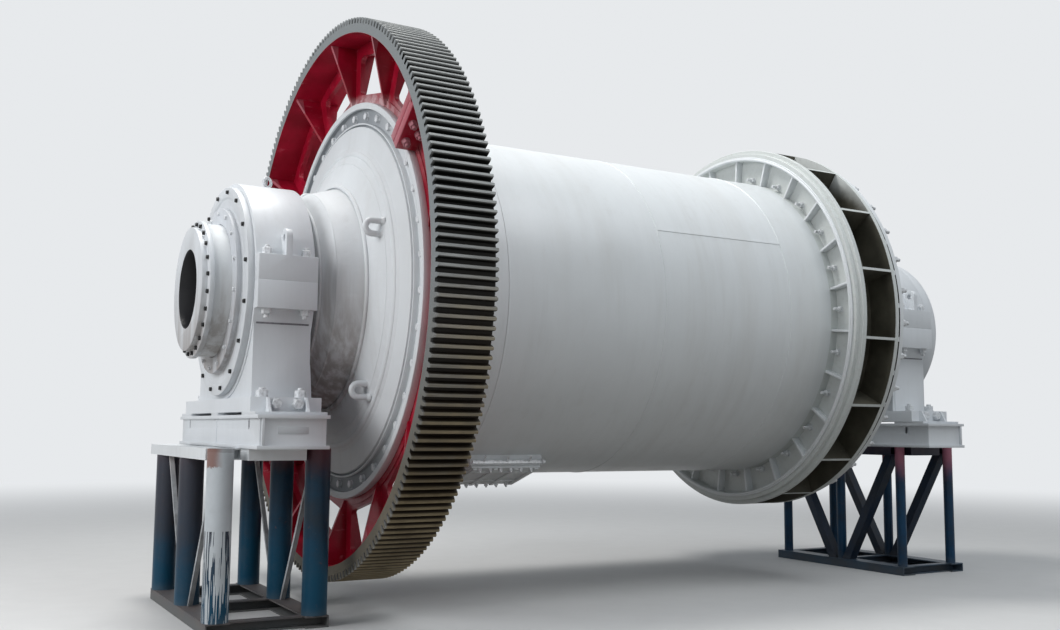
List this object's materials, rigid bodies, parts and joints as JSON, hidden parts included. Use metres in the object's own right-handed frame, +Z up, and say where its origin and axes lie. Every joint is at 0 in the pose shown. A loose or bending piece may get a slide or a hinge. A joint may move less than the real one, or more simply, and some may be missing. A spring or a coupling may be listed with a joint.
{
  "type": "ball mill",
  "caption": "Horizontal grinding drum with a girth gear, hollow trunnions in self-aligning bearing housings, a ribbed discharge head and two pipe stands.",
  "frame": {"origin": "on the ground, under the middle of the mill's overall length and on the mill's centre line", "axes": "+X along the shaft from the feed end to the discharge end, +Z up, the pictured side at -Y"},
  "size_m": [9.2823, 5.45, 5.69],
  "materials": {
    "white_mill_paint": "satin white paint with dust and water marks",
    "white_housing_paint": "satin white paint on castings and plate",
    "red_gear_paint": "gloss deep red paint",
    "gear_teeth_steel": "hobbed steel under old protective oil",
    "blue_stand_paint": "worn blue paint with red primer and white drips",
    "grey_green_primer": "matt grey green primer"
  },
  "bodies": {
    "root": {"feed_stand_base": "blue_stand_paint", "feed_stand_legs": "blue_stand_paint", "feed_stand_braces": "blue_stand_paint", "feed_stand_top": "white_mill_paint", "feed_bearing_box": "white_housing_paint", "feed_housing_base": "white_housing_paint", "feed_housing_cap": "white_housing_paint", "feed_outer_cover": "white_mill_paint", "feed_inner_cover": "white_mill_paint", "feed_seal_ring": "white_mill_paint", "discharge_stand_base": "blue_stand_paint", "discharge_stand_legs": "blue_stand_paint", "discharge_stand_braces": "blue_stand_paint", "discharge_stand_top": "blue_stand_paint", "discharge_bearing_box": "white_housing_paint", "discharge_housing_base": "white_housing_paint", "discharge_housing_cap": "white_housing_paint", "discharge_outer_cover": "white_mill_paint", "discharge_inner_cover": "white_mill_paint", "discharge_seal_ring": "white_mill_paint"},
    "rotor": {"feed_trunnion_liner": "white_mill_paint", "feed_head": "white_mill_paint", "gear_rim_upper": "gear_teeth_steel", "gear_rim_lower": "gear_teeth_steel", "gear_web_upper": "red_gear_paint", "gear_web_lower": "red_gear_paint", "feed_shell_flange": "white_mill_paint", "shell_course_1": "white_mill_paint", "shell_course_2": "white_mill_paint", "shell_course_3": "white_mill_paint", "shell_course_4": "white_mill_paint", "manhole_frame": "white_mill_paint", "manhole_cover": "white_mill_paint", "discharge_shell_flange": "white_mill_paint", "discharge_cell_drum": "grey_green_primer", "discharge_cell_plates": "grey_green_primer", "discharge_back_ring": "white_mill_paint", "discharge_ring_spacers": "white_mill_paint", "discharge_head": "white_mill_paint", "discharge_trunnion_liner": "white_mill_paint"}
  },
  "joints": [
    {"name": "mill_rotation", "type": "hinge", "parent": "root", "child": "rotor", "pos_m": [0, 0, 2.965], "axis": [1, 0, 0], "continuous": true}
  ]
}
